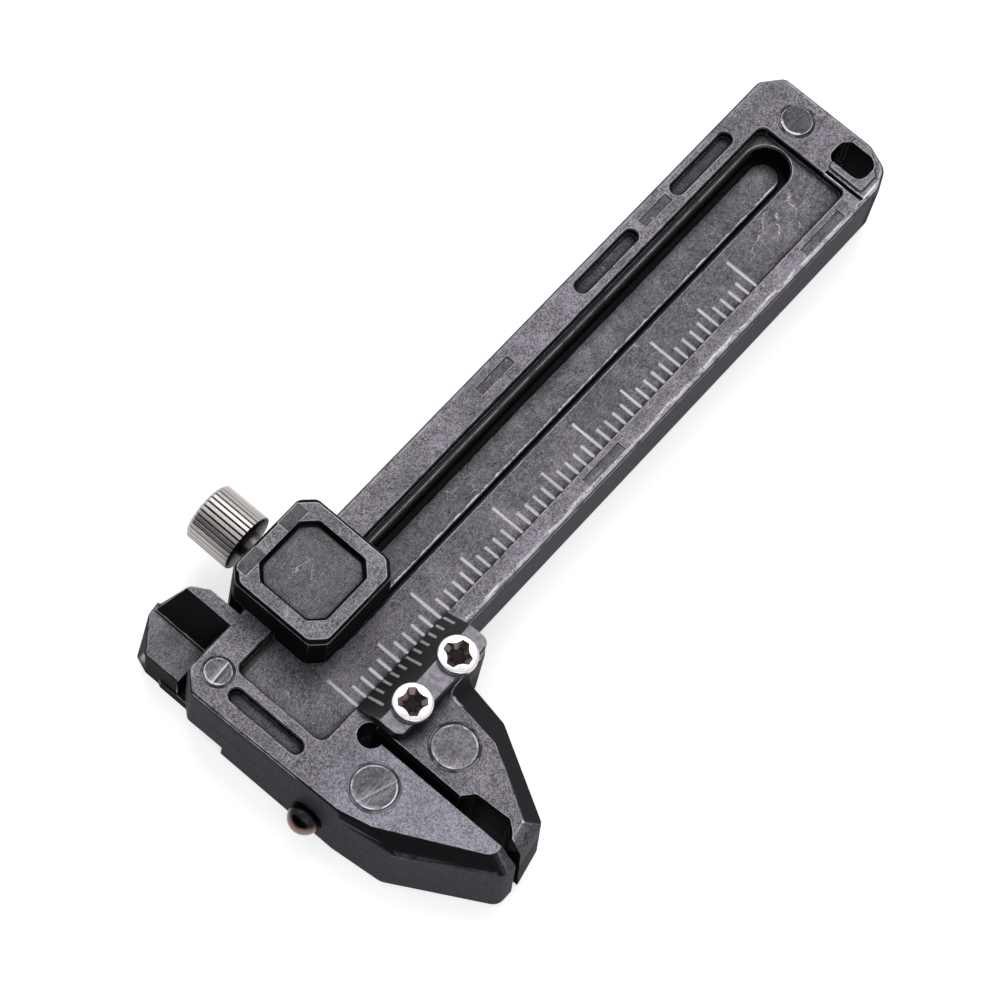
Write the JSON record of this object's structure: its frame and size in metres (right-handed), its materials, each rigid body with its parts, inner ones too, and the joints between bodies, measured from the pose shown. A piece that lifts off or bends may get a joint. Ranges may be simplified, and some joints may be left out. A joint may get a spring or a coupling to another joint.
{
  "type": "mini vernier caliper",
  "caption": "Pocket vernier caliper: a slider with outside and inside jaws runs on a slotted beam and is locked by a knurled screw.",
  "frame": {"origin": "middle of the head's flat back, on the beam's centre line", "axes": "+X along the beam towards the lanyard hole, +Y towards the thumb pad's side, +Z out of the face with the scale"},
  "size_m": [0.0764, 0.038, 0.0108],
  "materials": {
    "gunmetal": "worn dark gunmetal on die-cast zinc",
    "blackened": "satin black",
    "bright_steel": "polished",
    "nickel": "bright nickel plate",
    "brass": "plain"
  },
  "bodies": {
    "frame": {"front_frame": "gunmetal", "back_frame": "gunmetal", "fixed_jaw_post": "gunmetal", "head_post": "bright_steel", "tail_post": "gunmetal", "breaker_ball": "bright_steel"},
    "slider": {"slider_back": "gunmetal", "slider_cap": "gunmetal", "moving_jaw_front": "gunmetal", "moving_jaw_post": "gunmetal", "vernier_plate": "blackened", "slide_key": "brass", "gib_strip": "brass", "vernier_screw_left": "nickel", "vernier_screw_right": "nickel", "cap_screw_left": "bright_steel", "cap_screw_right": "bright_steel"},
    "lock_screw": {"lock_screw": "bright_steel"}
  },
  "joints": [
    {"name": "slider_travel", "type": "slide", "parent": "frame", "child": "slider", "axis": [1, 0, 0], "range_m": [-0.00073, 0.04925]},
    {"name": "lock_screw_turn", "type": "hinge", "parent": "slider", "child": "lock_screw", "pos_m": [0.00923, 0.0094, 0.00555], "axis": [0, 1, 0], "range_deg": [-180, 180]}
  ]
}
